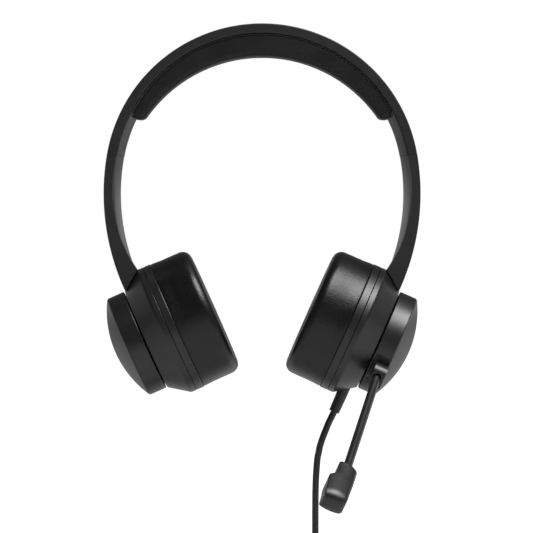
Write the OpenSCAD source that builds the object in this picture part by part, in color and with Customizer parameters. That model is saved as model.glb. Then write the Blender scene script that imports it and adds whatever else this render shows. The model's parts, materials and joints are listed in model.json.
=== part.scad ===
// Office headset: an on-ear stereo headset with a swinging microphone boom and a USB cable.
// The wearer faces -Y, +X is the wearer's left, +Z is up, and the origin is the crown point
// where the head pad rests on the head. Every length is in millimetres.

/* [Headband] */
// Outer radius of the headband's arch
band_r = 78.25; // [77:0.25:80]
// Height of the arch's centre, measured from the crown point
band_cz = -61.65; // [-62.5:0.05:-61]
// Width of the headband, front to back
band_w = 22; // [21:0.5:23]
// Thickness of the headband at its flat front edge
rim_t = 4.85; // [4.5:0.05:5.2]
// How far the inner cover's crown stands in from the flat edge
crown_h = 3.6; // [3.2:0.1:3.8]
// Height above horizontal of the line where the band ends and an arm begins, in degrees
seam_angle = 10.1; // [9:0.1:11]
// Half angle that the head pad covers, in degrees
pad_angle = 63; // [58:1:65]

/* [Arms] */
// Outer radius of an arm
arm_r = 115.2; // [112:0.2:118]
// Radius of the path that an arm slides along
slide_r = 160; // [155:1:170]
// Front to back width of an arm where it meets the ear cup
arm_end_w = 16; // [15:0.5:17]
// Length of the slider strip inside the headband
strip_in = 28; // [27:0.5:29]
// Width of the slider strip
strip_w = 10; // [9:0.5:10.5]

/* [Ear cups] */
// Tilt of an ear cup's axis from horizontal, in degrees
cup_tilt = 24; // [23:0.5:25]
// Sideways place of the ear cup's reference point
cup_x = 62.85; // [62:0.05:64]
// Height of the ear cup's reference point
cup_z = -142.8; // [-144:0.1:-142]
// Radius of the ear cup and its cushion ring
cup_r = 33.4; // [33:0.1:34]
// Radius of the outer disc
disc_r = 26.2; // [25.5:0.1:26.5]
// Radius of the opening in the ear cushion
ear_hole_r = 14; // [12:0.5:15]
// Depth of the ear cushion
cushion_t = 20.6; // [19:0.1:21]

/* [Microphone] */
// Direction of the boom, in degrees forward of straight down
boom_angle = 55; // [50:1:60]
// Outward lean of the boom, in degrees
boom_lean = 1.95; // [1:0.05:3]
// Diameter of the boom
boom_d = 4.3; // [4:0.1:4.5]
// Length of the boom between its boss and the microphone's neck
boom_len = 81.2; // [78:0.1:84]

/* [Cable] */
// Diameter of the cable
cable_d = 3.4; // [3.2:0.1:3.6]
// Radius at the middle of the coil's turns
coil_r = 18.6; // [18:0.1:20]
// Height of the surface that the coiled length lies on
floor_z = -292; // [-296:1:-291]

/* [Hidden] */
$fn = 96;
eps = 0.01;

band_in = band_r - rim_t;
channel_r = band_r - 1.35;
wall = 1.6;
plate_t = 1.5;
crown_end = 89.5 - pad_angle;
crown_r = ((band_w / 2) ^ 2 + crown_h ^ 2) / (2 * crown_h);
seam_z = band_cz + band_r * sin(seam_angle);
seam_x = band_r * cos(seam_angle);
arm_c = [seam_x - arm_r * cos(seam_angle), seam_z - arm_r * sin(seam_angle)];
slide_c = [seam_x - slide_r * cos(seam_angle), seam_z - slide_r * sin(seam_angle)];
crease_c = [4.55, -66.4];
crease_r = 70;
inner_c = [-31.5, -68];
inner_r = 102;
strip_out_r = slide_r - 4.3;
strip_t = 1.6;
guide_s = 6;
screw_r = 0.85;
head_r = 1.8;

// Levels along an ear cup's axis, counted inwards from the reference point.
dome_u = -11.3;
cap_u = -4.1;
disc_u = 4.8;
cone_u = 5.45;
flange_u = 15.4;
ring_u = 18.4;
cushion_u = 22.5;
small_r = disc_r + 0.1;
pivot = [21, 13.6];
pin_r = 1.2;
saddle_gap = 1.1;
boss_r = 28;
boss_at = [50, -50, 135, -135];
exit_u = 10.8;
boot_end = 42.1;
boom_start = 32.2;
boom_u = -1;
mic_in = 7.1;
mic_out = 4.7;
mic_h = 12;
mic_len = 24.5;
mic_neck = 8.8;
usb_w = 12;
usb_h = 4.5;

layer_n = 4;
coil_w = layer_n * cable_d + 0.2;
tie_t = 0.6;
coil_z = floor_z + tie_t + 0.1;
coil_c = [26.6 - coil_r - coil_w / 2 + cable_d / 2 + 0.1, 12];
// The cable's free run: out of the strain relief, down, and round onto the coil's top layer.
top_z = coil_z + (layer_n - 0.5) * cable_d;
cable_points = [
    [35.9, 0, -176.9], [34.7, 0, -179.4], [33.2, 0, -182.4], [32, 0, -185.4], [30.8, 0, -188.4],
    [29.7, 0, -191.4], [28.8, 0, -194.4], [28.2, 0, -197.4], [27.6, 0, -200.4], [27, 0, -208],
    [26.7, 0, -216], [26.6, 0, -226], [26.6, 0, -240], [26.6, 0, top_z + 17.4],
    [26.6, 0.3, top_z + 12.4], [26.6, 1.5, top_z + 7.9], [26.6, 4, top_z + 3.9],
    [26.6, 7.5, top_z + 1], [26.6, 12, top_z]
];
// The cable's tail: off the coil's lowest outer turn and into the plug, along the floor.
tail_z = coil_z + cable_d / 2;
tail_points = [
    [26.6, 12, tail_z], [26.7, 18, tail_z], [28, 24, tail_z], [31, 29, tail_z], [35, 32.5, tail_z],
    [40, 34.5, tail_z]
];

// ---- Frames that the sub-parts are built in ----

// A ring sector about a Y axis through c = [x, z], from angle a0 to a1 above +X.
module arc_sweep(c, a0, a1)
    translate([c[0], 0, c[1]]) rotate([90, 0, 0]) rotate([0, 0, a0])
        rotate_extrude(angle = a1 - a0) children();

// A place on the headband: a degrees from the crown towards +X, with local +Z outwards.
module on_band(a, y = 0) translate([0, y, band_cz]) rotate([0, a, 0]) children();

// A place on the right slider's path: s millimetres up from the seam, with local +Z outwards.
module on_slide(s, y = 0)
    translate([slide_c[0], y, slide_c[1]])
        rotate([0, 90 - seam_angle - s / slide_r * 180 / PI, 0]) children();

// The right ear cup's frame: local +Z inwards along the cup's axis and local +X up towards the arm.
module in_cup() translate([cup_x, 0, cup_z]) rotate([0, cup_tilt - 90, 0]) children();

module turned(points) rotate_extrude() polygon(points);

module rod(r, z0, z1) translate([0, 0, z0]) cylinder(r = r, h = z1 - z0);

// A flat-head screw along local Z, with its head at the low end.
module screw(z_head, z_tip, head_t = 1) {
    difference() {
        rod(head_r, z_head, z_head + head_t);
        translate([-head_r, -0.2, z_head - eps]) cube([2 * head_r, 0.4, 0.4]);
    }
    rod(screw_r, z_head + head_t - eps, z_tip);
}

// ---- Headband ----

module rect(r0, r1, w) translate([r0, -w / 2]) square([r1 - r0, w]);

module headband_shell() color("#1c1c1d") difference() {
    union() {
        arc_sweep([0, band_cz], seam_angle, 180 - seam_angle) difference() {
            rect(band_in, band_r, band_w);
            rect(band_in - eps, channel_r, band_w - 2 * wall);
        }
        for (a = [-30, 30]) on_band(a) rod(2.2, 75.3, channel_r + 0.2);
        for (a = [-20, 20], y = [-7.2, 7.2]) on_band(a, y) rod(1.9, band_in + 0.1, channel_r + 0.5);
        for (m = [0, 1]) mirror([m, 0, 0]) on_slide(guide_s) rod(2, slide_r - 3.5, slide_r - 1);
    }
    for (a = [-30, 30]) on_band(a) rod(screw_r, 75, channel_r + 0.6);
    for (a = [-20, 20], y = [-7.2, 7.2]) on_band(a, y) rod(screw_r, 73, 76.8);
    for (m = [0, 1]) mirror([m, 0, 0]) on_slide(guide_s)
        rod(screw_r, slide_r - 4, slide_r - 0.8);
}

// The crowned bulge's section: a circle segment that meets the flat plate at the band's edges.
module crown_section(r_flat) intersection() {
    translate([r_flat - crown_h + crown_r, 0]) circle(r = crown_r);
    rect(r_flat - crown_h - 1, r_flat, band_w);
}

// The plate under the pad.
module headband_liner() color("#222223") difference() {
    arc_sweep([0, band_cz], crown_end, 180 - crown_end)
        rect(band_in - plate_t, band_in - 0.02, band_w - 2);
    for (a = [-20, 20], y = [-7.2, 7.2]) on_band(a, y) {
        rod(screw_r + 0.05, 70, 75);
        rod(head_r + 0.2, 70, band_in - 0.45);
    }
}

// The crowned cover between the pad and the seam, with room for the slider strip inside it.
module band_cover() color("#222223") difference() {
    arc_sweep([0, band_cz], seam_angle, crown_end - 0.05) crown_section(band_in - 0.02);
    arc_sweep(slide_c, seam_angle - 0.5, seam_angle + (strip_in + 1) / slide_r * 180 / PI)
        rect(strip_out_r - strip_t - 0.3, slide_r, strip_w + 0.6);
    on_slide(guide_s) {
        rod(screw_r + 0.05, slide_r - 10, slide_r);
        rod(head_r + 0.2, slide_r - 10, slide_r - 7.2);
    }
}

module spring_band() color("#8d9298") difference() {
    arc_sweep([0, band_cz], 54, 126) rect(74.6, 75.2, 10);
    for (a = [-30, 30]) on_band(a) rod(1.1, 70, 80);
}

module spring_screws() color("#b9bcc0") for (a = [-30, 30]) on_band(a) screw(73.55, 77.2);

module liner_screws() color("#b9bcc0")
    for (a = [-20, 20], y = [-7.2, 7.2]) on_band(a, y) screw(72, 76.6, 0.9);

module guide_screws() color("#b9bcc0") for (m = [0, 1]) mirror([m, 0, 0])
    on_slide(guide_s) screw(slide_r - 8.4, slide_r - 1, 1.1);

// Each detent spring is a leaf fixed to the shell, with a bump that clicks along the strip.
module detent_springs() color("#a5a9ad") for (m = [0, 1]) mirror([m, 0, 0]) {
    arc_sweep(slide_c, seam_angle + 3.9, seam_angle + 7.6) rect(slide_r - 3.6, slide_r - 3.3, 4);
    arc_sweep(slide_c, seam_angle + 7.2, seam_angle + 7.6) rect(slide_r - 3.6, slide_r - 2.9, 4);
    on_slide(14) rotate([90, 0, 0]) translate([0, slide_r - 3.3, -2]) cylinder(r = 0.75, h = 4);
}

// A closed pad: flat where it is glued to the liner, with a soft round inner edge.
module pad_outline(grow = 0) intersection() {
    difference() {
        translate([0, band_cz]) circle(r = band_in - plate_t - 0.1);
        translate([0, -70]) circle(r = 70 - grow);
    }
    translate([0, band_cz]) polygon([
        [0, 0], 100 * [-sin(pad_angle), cos(pad_angle)], [-100, 100], [100, 100],
        100 * [sin(pad_angle), cos(pad_angle)]
    ]);
}

module head_pad() color("#161617") rotate([90, 0, 0]) {
    translate([0, 0, -9]) linear_extrude(18) pad_outline();
    for (z = [-10.5, 9]) translate([0, 0, z]) linear_extrude(1.5) pad_outline(-1.5);
}

// ---- Arms, sliders and yokes (right side; the left side is their mirror image) ----

// The ear cup's outer form grown by g, which the arm's end is shaped round.
module cup_clearance(g) in_cup() turned([
    [0, disc_u + 0.9 - 12], [disc_r + g, disc_u + 0.9 - 12], [disc_r + g, cone_u + 0.2],
    [small_r + g, cone_u + 0.2], [cup_r + g, flange_u - 0.3], [cup_r + g, ring_u + 10],
    [0, ring_u + 10]
]);

// Front view outlines of the arm's two shells, between the seam and the ear cup.
module below_seam(gap = 0)
    translate([seam_x, seam_z]) rotate(seam_angle) translate([-60, -100 - gap]) square([80, 100]);

module arm_taper() rotate([90, 0, 90]) translate([0, 0, 20]) linear_extrude(70) polygon([
    [-band_w / 2, 0], [band_w / 2, 0], [band_w / 2, seam_z], [arm_end_w / 2, -117],
    [arm_end_w / 2, -130], [-arm_end_w / 2, -130], [-arm_end_w / 2, -117], [-band_w / 2, seam_z]
]);

module arm_region() difference() {
    intersection() {
        below_seam(0.15);
        translate(arm_c) circle(r = arm_r);
        translate([0, -125]) square([100, 100]);
    }
    children();
}

module strip_pocket(g) {
    arc_sweep(slide_c, seam_angle - 5.8, seam_angle + 1)
        rect(strip_out_r - strip_t - g, strip_out_r + g, strip_w + 2 * g);
}

module arm_shell() difference() {
    intersection() {
        rotate([90, 0, 0]) translate([0, 0, -15]) linear_extrude(30) arm_region()
            translate(crease_c) circle(r = crease_r);
        arm_taper();
    }
    cup_clearance(saddle_gap);
    strip_pocket(0.05);
    in_cup() translate([25, -3.05, 8.55]) cube([18.1, 6.1, 4.7]);
    on_slide(-8) rod(screw_r, slide_r - 10, slide_r - 1.2);
    in_cup() translate([38, 0, 0]) {
        rod(screw_r, 7.6, 20);
        rod(head_r + 0.15, 13.4, 20);
    }
}

module arm_cover() difference() {
    intersection() {
        rotate([90, 0, 0]) translate([0, 0, -15]) linear_extrude(30) intersection() {
            arm_region() translate(inner_c) circle(r = inner_r);
            translate(crease_c) circle(r = crease_r - 0.02);
            translate([0, -103]) square([100, 100]);
        }
        arc_sweep(inner_c, -30, 20)
            translate([inner_r + crown_r, 0]) circle(r = crown_r);
        arm_taper();
    }
    strip_pocket(0.05);
    on_slide(-8) rod(screw_r + 0.05, slide_r - 12, slide_r);
    on_slide(-8) rod(head_r + 0.2, slide_r - 12, slide_r - 7);
}

module slider_strip() difference() {
    arc_sweep(slide_c, seam_angle - 5.6, seam_angle + strip_in / slide_r * 180 / PI)
        rect(strip_out_r - strip_t, strip_out_r, strip_w);
    // The travel slot and its two round ends.
    arc_sweep(slide_c, seam_angle + 5.9 / slide_r * 180 / PI,
              seam_angle + 24.4 / slide_r * 180 / PI) rect(slide_r - 8, slide_r, 2.6);
    for (s = [5.9, 24.4]) on_slide(s) rod(1.3, slide_r - 8, slide_r);
    on_slide(-8) rod(screw_r + 0.05, slide_r - 8, slide_r);
    for (s = [11.5 : 2.5 : 26.5], y = [-3.3, 3.3])
        on_slide(s, y) rod(0.5, strip_out_r - 0.5, slide_r);
}

module yoke() in_cup() difference() {
    union() {
        translate([pivot[0], 3, pivot[1]]) rotate([90, 0, 0]) cylinder(r = 3.1, h = 6);
        rotate([90, 0, 0]) translate([0, 0, -3]) linear_extrude(6) polygon([
            [pivot[0] + 1, 10.8], [27, 8.8], [30, 8.6], [43, 8.6], [43, 13.2], [30, 13.2],
            [26, 14.2], [pivot[0] + 1, 16.4]
        ]);
    }
    translate([pivot[0], 4, pivot[1]]) rotate([90, 0, 0]) cylinder(r = pin_r + 0.05, h = 8);
    translate([38, 0, 0]) rod(screw_r + 0.05, 5, 20);
}

module arm_screws() {
    on_slide(-8) screw(slide_r - 7.9, slide_r - 1.4, 0.9);
    in_cup() translate([38, 0, 14.5]) rotate([180, 0, 0]) screw(0, 6.7);
}

// ---- Ear cups (right side; the left side is their mirror image) ----

module ears() for (y = [-5.4, 3.4])
    translate([pivot[0] - 3, y, cone_u + 1]) cube([6, 2, pivot[1] - cone_u + 2]);

module cup_housing() in_cup() difference() {
    union() {
        turned([
            [0, cone_u], [small_r, cone_u], [cup_r, flange_u], [cup_r, ring_u],
            [cup_r - wall, ring_u], [cup_r - wall, flange_u + 0.6], [small_r - 1.4, cone_u + wall],
            [0, cone_u + wall]
        ]);
        for (a = boss_at) rotate([0, 0, a]) translate([boss_r, 0, 0]) rod(2.2, 11.5, ring_u + 0.9);
        ears();
    }
    translate([0, 0, cone_u - 1]) cylinder(r = 5, h = 4);
    for (a = boss_at) rotate([0, 0, a]) translate([boss_r, 0, 0]) rod(screw_r, 12.5, ring_u + 1);
    translate([pivot[0], 6, pivot[1]]) rotate([90, 0, 0]) cylinder(r = pin_r + 0.02, h = 12);
    translate([22, -3.4, cone_u + wall + 0.1]) cube([16, 6.8, 7.6]);
}

module cable_hole() in_cup() translate([0, 0, exit_u]) rotate([0, -90, 0])
    rod(2.8, 22, 36);

module cushion_ring() in_cup() difference() {
    turned([
        [0, ring_u + 1], [cup_r - wall - 0.3, ring_u + 1], [cup_r - wall - 0.3, ring_u + 0.05],
        [cup_r, ring_u + 0.05], [cup_r, cushion_u], [0, cushion_u]
    ]);
    translate([0, 0, ring_u]) cylinder(r = 15.3, h = 2.5);
    for (a = [0 : 60 : 300]) rotate([0, 0, a]) translate([8, 0, 0]) rod(2, ring_u, cushion_u + 1);
    rod(2, ring_u, cushion_u + 1);
    for (a = boss_at) rotate([0, 0, a]) translate([boss_r, 0, 0]) {
        rod(screw_r + 0.05, ring_u, cushion_u + 1);
        rod(head_r + 0.2, cushion_u - 1.3, cushion_u + 1);
    }
}

module speaker_frame() in_cup() difference() {
    turned([
        [8.6, 14.5], [11, 14.5], [13.5, 17], [15.2, 19.4], [15.2, 20.8], [14.2, 20.8],
        [14.2, 19.6], [12.6, 17.8], [10.6, 15.5], [8.6, 15.5]
    ]);
    for (a = [30 : 60 : 330]) rotate([0, 0, a]) translate([9.8, 0, 14]) cylinder(r = 0.7, h = 2);
}

module speaker_magnet() in_cup() {
    turned([[0, 10.5], [8.5, 10.5], [8.5, 17.2], [7.2, 17.2], [7.2, 12.2], [0, 12.2]]);
    rod(5.6, 12.2 - eps, 17.2);
}

module speaker_diaphragm() in_cup() turned([
    [0, 19.5], [5.8, 18.3], [5.8, 14.4], [6.5, 14.4], [6.5, 18.5], [10, 19.4], [14, 19.9],
    [14, 20.1], [10, 19.6], [6.5, 18.75], [0, 19.8]
]);

module ear_mesh() in_cup() rod(ear_hole_r - 0.2, cushion_u + 0.05, cushion_u + 0.5);

// Straight-sided where the cover is stretched, with a soft round inner and outer edge at the ear.
module ear_cushion() in_cup() {
    top = cushion_u + cushion_t;
    edge = 5;
    rotate_extrude() {
        translate([ear_hole_r, cushion_u + 0.05]) square([cup_r - 0.2 - ear_hole_r, cushion_t - edge]);
        translate([ear_hole_r + edge, top - edge - 1])
            square([cup_r - 0.2 - ear_hole_r - 2 * edge, edge + 1]);
        for (r = [ear_hole_r + edge, cup_r - 0.2 - edge]) translate([r, top - edge]) circle(r = edge);
    }
}

module pivot_pin() in_cup() translate([pivot[0], 5.3, pivot[1]]) rotate([90, 0, 0])
    cylinder(r = pin_r, h = 10.6);

module cup_screws() in_cup() for (a = boss_at) rotate([0, 0, a]) translate([boss_r, 0, 0])
    rotate([180, 0, 0]) screw(-cushion_u + 0.1, -12.5, 1);

// The outer disc: a ring with a floor, and a hub that passes through the housing's back wall.
module outer_disc() in_cup() {
    turned([
        [0, disc_u - wall], [disc_r - 1.8, disc_u - wall], [disc_r - 1.8, cap_u + 1.2],
        [disc_r - 1, cap_u + 0.05], [disc_r, cap_u + 0.05], [disc_r, disc_u], [0, disc_u]
    ]);
    rod(4.92, disc_u - eps, cone_u + wall + 0.1);
    rod(3.4, cone_u + wall, cone_u + wall + 1.1);
}

// A ring pressed on the hub's end, which keeps the disc on the housing.
module hub_clip() in_cup() difference() {
    rod(7.5, cone_u + wall + 0.3, cone_u + wall + 1);
    rod(3.42, cone_u, 12);
}

// The domed cap closes the disc; its rim is a plug inside the disc's wall.
module dome_cap() in_cup() {
    h = cap_u - dome_u;
    r = (disc_r ^ 2 + h ^ 2) / (2 * h);
    difference() {
        intersection() {
            translate([0, 0, dome_u + r]) sphere(r = r);
            rod(disc_r, dome_u - 1, cap_u);
        }
        translate([0, 0, dome_u + r]) sphere(r = r - 1.6);
    }
    difference() {
        rod(disc_r - 1.9, cap_u - 1, cap_u + 3);
        rod(disc_r - 3.2, cap_u - 3, cap_u + 4);
    }
}

// ---- Microphone boom ----

// The boom's frame: at its boss, with local +Z along the boom and local +X inwards to the mouth.
module on_boom() in_cup() rotate([0, 0, 180 + boom_angle]) translate([boom_start, 0, boom_u])
    rotate([0, 90 + boom_lean, 0]) rotate([0, 0, 180]) children();

module boom_disc() color("#202021") difference() {
    union() {
        outer_disc();
        in_cup() rotate([0, 0, 180 + boom_angle]) translate([disc_r - 1.6, -5, boom_u - 3.4])
            cube([boom_start - disc_r + 1.6, 10, 6.8]);
    }
    on_boom() rod(boom_d / 2 + 0.02, -7.6, 2);
}

module boom_dome_cap() color("#262627") dome_cap();
module boom_clip() color("#a5a9ad") hub_clip();

module boom_tube() color("#1b1b1c") on_boom() rod(boom_d / 2, -7, boom_len);

// Side outline of the microphone: x is inwards, towards the mouth, and y is along the boom.
module mic_outline(x0, x1) intersection() {
    polygon([
        [-2.1, 0], [3.6, 0], [3.6, mic_neck], [mic_in, mic_neck + 2.4], [mic_in, mic_len - 1],
        [-mic_out + 1.6, mic_len], [-mic_out, mic_len - 1.4], [-mic_out, 2.4]
    ]);
    translate([x0, -1]) square([x1 - x0, mic_len + 3]);
}

// Section across the boom: square on the mouth's side and rounded on the outer side.
module mic_section() {
    translate([-mic_out, -mic_h / 2 + 3]) square([mic_out + mic_in, mic_h - 6]);
    translate([3 - mic_out, -mic_h / 2]) square([mic_out + mic_in - 3, mic_h]);
    for (s = [-1, 1]) translate([3 - mic_out, s * (mic_h / 2 - 3)]) circle(r = 3);
}

module mic_body(x0, x1) intersection() {
    rotate([90, 0, 0]) translate([0, 0, -10]) linear_extrude(20) mic_outline(x0, x1);
    linear_extrude(mic_len + 1) mic_section();
    rotate([0, 90, 0]) translate([12 - mic_len, 0, -8]) linear_extrude(16) {
        circle(r = 12);
        translate([0, -12]) square([30, 24]);
    }
}

module at_mic() on_boom() translate([0, 0, boom_len]) children();

module mic_shell() color("#1e1e1f") at_mic() difference() {
    mic_body(-mic_out, mic_in - 1.6);
    translate([-2.8, -4.2, mic_neck + 1]) cube([10, 8.4, 11]);
    rod(1.2, -1, mic_neck + 3);
}

module mic_cover() color("#2a2a2b") at_mic() difference() {
    mic_body(mic_in - 1.58, mic_in);
    for (y = [-2.4, 0, 2.4], z = [13.4, 16.4, 19.4]) translate([0, y, z]) rotate([0, 90, 0])
        cylinder(r = 0.6, h = 10);
}

module mic_element() color("#c0c3c6") at_mic() translate([-0.8, 0, 15.4]) rotate([0, 90, 0])
    cylinder(r = 3, h = 3.4);

module mic_foam() color("#0e0e0e") at_mic() translate([2.8, 0, 15.4]) rotate([0, 90, 0])
    cylinder(r = 4, h = 2.5);

// ---- Cable side ----

module circuit_board() in_cup() {
    color("#1d5a38") translate([-22.5, -8, 8.4]) cube([12, 16, 1.2]);
    color("#141414") translate([-20.5, -3.5, 9.6 - eps]) cube([7, 7, 1]);
    color("#c9b26a") for (y = [-7 : 2.5 : 6]) translate([-12.4, y, 9.6 - eps]) cube([1.6, 1.4, 0.4]);
    color("#8a6d4a") for (y = [4.5, 6.5]) translate([-20, y, 9.6 - eps]) cube([1.6, 0.8, 0.6]);
}

// A soft boot with a flange inside the housing's wall.
module strain_relief() color("#171718") in_cup() translate([0, 0, exit_u]) rotate([0, -90, 0])
    rotate_extrude() polygon([
        [0, 23.2], [3.4, 23.2], [3.4, 24.4], [2.75, 24.4], [2.75, 33], [2.6, boot_end], [0, boot_end]
    ]);

// A round tube swept along a path, closed at both ends; the path never runs along side.
function unit(v) = v / norm(v);
function spread(p, i) = unit(p[min(i + 1, len(p) - 1)] - p[max(i - 1, 0)]);
function ring(p, i, r, side, sides) =
    let (t = spread(p, i), b = unit(cross(t, side)), n = cross(b, t))
    [for (k = [0 : sides - 1]) p[i] + r * (cos(360 * k / sides) * n + sin(360 * k / sides) * b)];

module tube(p, r, side, sides = 8) {
    points = [for (i = [0 : len(p) - 1]) each ring(p, i, r, side, sides)];
    last = (len(p) - 1) * sides;
    polyhedron(points, concat(
        [[for (k = [0 : sides - 1]) k]],
        [[for (k = [sides - 1 : -1 : 0]) last + k]],
        [for (i = [0 : len(p) - 2], k = [0 : sides - 1])
            [i * sides + k, (i + 1) * sides + k, (i + 1) * sides + (k + 1) % sides,
             i * sides + (k + 1) % sides]]
    ));
}

module cable() color("#121213") tube(cable_points, cable_d / 2, [1, 0, 0]);

module cable_coil() color("#121213") translate([coil_c[0], coil_c[1], coil_z])
    rotate_extrude() translate([coil_r - coil_w / 2, 0]) square([coil_w, layer_n * cable_d + 0.1]);

module cable_tail() color("#121213") tube(tail_points, cable_d / 2, [0, 0, 1]);

// A strap round the coil's section, on the side away from the plug.
module coil_tie() color("#0c0c0c") {
    far = coil_r + coil_w / 2 + 0.15;
    near = sqrt((coil_r - coil_w / 2) ^ 2 - 16) - 0.15;
    h = layer_n * cable_d + 0.4;
    translate([coil_c[0], coil_c[1], floor_z]) difference() {
        translate([-far - tie_t, -4, 0]) cube([far - near + 2 * tie_t, 8, h + 2 * tie_t]);
        translate([-far, -5, tie_t]) cube([far - near, 10, h]);
    }
}

// The plug lies on the surface beside the coil and points away from it.
module at_plug() translate([tail_points[5][0], tail_points[5][1], floor_z + usb_h / 2 + 1.9])
    rotate([0, 0, 12]) children();

module usb_plug_body() color("#171718") at_plug() difference() {
    union() {
        translate([9, -8, -4.1]) cube([22, 16, 8.2]);
        translate([0, -3.2, -4.1]) cube([9.5, 6.4, 6.4]);
    }
    translate([27, -usb_w / 2 - 0.05, -usb_h / 2 - 0.05]) cube([5, usb_w + 0.1, usb_h + 0.1]);
}

module usb_plug_shell() color("#c6c8ca") at_plug() difference() {
    translate([27.05, -usb_w / 2, -usb_h / 2]) cube([22.5, usb_w, usb_h]);
    translate([27.5, -usb_w / 2 + 0.3, -usb_h / 2 + 0.3]) cube([25, usb_w - 0.6, usb_h - 0.6]);
    for (y = [-2.5, 2.5]) translate([40, y - 1.2, -usb_h]) cube([2.2, 2.4, 2 * usb_h]);
}

module usb_plug_tongue() {
    color("#e8e8e6") at_plug() translate([27.6, -5.5, -0.1]) cube([20.5, 11, 1.9]);
    color("#d8b45a") at_plug() for (y = [-3.5, -1, 1, 3.5])
        translate([38, y - 0.5, -0.35]) cube([8.5, 1, 0.3]);
}

// ---- Each side's nodes ----

module left() mirror([1, 0, 0]) children();

module right_band_cover() band_cover();
module left_band_cover() left() band_cover();
module right_arm_shell() color("#1c1c1d") arm_shell();
module right_arm_cover() color("#222223") arm_cover();
module right_slider_strip() color("#2b2b2c") slider_strip();
module right_yoke() color("#2b2b2c") yoke();
module right_arm_screws() color("#b9bcc0") arm_screws();
module left_arm_shell() left() right_arm_shell();
module left_arm_cover() left() right_arm_cover();
module left_slider_strip() left() right_slider_strip();
module left_yoke() left() right_yoke();
module left_arm_screws() left() right_arm_screws();

module right_cup_housing() color("#1f1f20") difference() {
    cup_housing();
    cable_hole();
}
module right_cushion_ring() color("#262627") cushion_ring();
module right_speaker_frame() color("#3a3a3b") speaker_frame();
module right_speaker_magnet() color("#9a9ea2") speaker_magnet();
module right_speaker_diaphragm() color("#d9d2bf") speaker_diaphragm();
module right_ear_mesh() color("#101010") ear_mesh();
module right_ear_cushion() color("#161617") ear_cushion();
module right_pivot_pin() color("#b9bcc0") pivot_pin();
module right_cup_screws() color("#b9bcc0") cup_screws();
module left_cup_housing() color("#1f1f20") left() cup_housing();
module left_cushion_ring() left() right_cushion_ring();
module left_speaker_frame() left() right_speaker_frame();
module left_speaker_magnet() left() right_speaker_magnet();
module left_speaker_diaphragm() left() right_speaker_diaphragm();
module left_ear_mesh() left() right_ear_mesh();
module left_ear_cushion() left() right_ear_cushion();
module left_pivot_pin() left() right_pivot_pin();
module left_cup_screws() left() right_cup_screws();
module left_outer_disc() color("#202021") left() outer_disc();
module left_dome_cap() color("#262627") left() dome_cap();
module left_hub_clip() color("#a5a9ad") left() hub_clip();

// ---- What is drawn ----

headband_shell();
headband_liner();
right_band_cover();
left_band_cover();
spring_band();
spring_screws();
liner_screws();
guide_screws();
detent_springs();
head_pad();
right_arm_shell();
right_arm_cover();
right_slider_strip();
right_yoke();
right_arm_screws();
left_arm_shell();
left_arm_cover();
left_slider_strip();
left_yoke();
left_arm_screws();
right_cup_housing();
right_cushion_ring();
right_speaker_frame();
right_speaker_magnet();
right_speaker_diaphragm();
right_ear_mesh();
right_ear_cushion();
right_pivot_pin();
right_cup_screws();
left_cup_housing();
left_cushion_ring();
left_speaker_frame();
left_speaker_magnet();
left_speaker_diaphragm();
left_ear_mesh();
left_ear_cushion();
left_pivot_pin();
left_cup_screws();
left_outer_disc();
left_dome_cap();
left_hub_clip();
boom_disc();
boom_dome_cap();
boom_clip();
boom_tube();
mic_shell();
mic_cover();
mic_element();
mic_foam();
circuit_board();
strain_relief();
cable();
cable_coil();
cable_tail();
coil_tie();
usb_plug_body();
usb_plug_shell();
usb_plug_tongue();
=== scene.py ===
"""Office headset: the visual model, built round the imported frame.

Helpers work in millimetres in the frame's own axes and convert once, when a mesh is made.
"""

import json
import math

import bmesh
import bpy
import numpy as np
from mathutils import Matrix, Vector
from mathutils.bvhtree import BVHTree

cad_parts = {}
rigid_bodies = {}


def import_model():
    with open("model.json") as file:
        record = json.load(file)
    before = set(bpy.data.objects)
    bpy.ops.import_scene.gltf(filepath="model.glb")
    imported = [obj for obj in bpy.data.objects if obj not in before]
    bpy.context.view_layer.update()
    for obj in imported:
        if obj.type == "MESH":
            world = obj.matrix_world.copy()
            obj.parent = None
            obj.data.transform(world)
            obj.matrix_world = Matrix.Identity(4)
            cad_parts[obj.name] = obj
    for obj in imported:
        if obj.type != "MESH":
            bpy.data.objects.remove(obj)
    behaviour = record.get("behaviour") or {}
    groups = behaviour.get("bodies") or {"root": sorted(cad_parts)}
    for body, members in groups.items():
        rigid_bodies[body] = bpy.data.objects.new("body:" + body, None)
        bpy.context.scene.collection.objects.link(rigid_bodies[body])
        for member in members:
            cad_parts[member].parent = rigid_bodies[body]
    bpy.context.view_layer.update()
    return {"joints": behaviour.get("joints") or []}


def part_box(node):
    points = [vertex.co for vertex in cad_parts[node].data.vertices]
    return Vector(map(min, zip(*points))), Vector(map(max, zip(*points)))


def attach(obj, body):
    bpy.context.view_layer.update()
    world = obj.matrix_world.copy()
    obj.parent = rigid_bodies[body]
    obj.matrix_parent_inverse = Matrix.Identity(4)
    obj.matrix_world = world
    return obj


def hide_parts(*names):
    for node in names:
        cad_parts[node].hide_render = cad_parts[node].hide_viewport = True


MM = 0.001
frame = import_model()
JOINTS = {j["name"]: j for j in frame["joints"]}


def lowest(node):
    return Vector(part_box(node)[0]) / MM


def highest(node):
    return Vector(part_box(node)[1]) / MM


# ---- Driving dimensions, in millimetres ----

# The band: an arc about BAND_C in the XZ plane, between its seams with the arms
BAND_R = 78.25
BAND_TOP = highest("headband_shell").z
BAND_C = (0.0, BAND_TOP - BAND_R)
BAND_W = highest("headband_shell").y * 2
BAND_IN = BAND_R - 4.85
CHANNEL_R = BAND_R - 1.35
WALL = 1.6
CROWN_H = 3.6
SEAM = math.radians(10.1)
SEAM_X = BAND_R * math.cos(SEAM)
SEAM_Z = BAND_C[1] + BAND_R * math.sin(SEAM)

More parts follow.
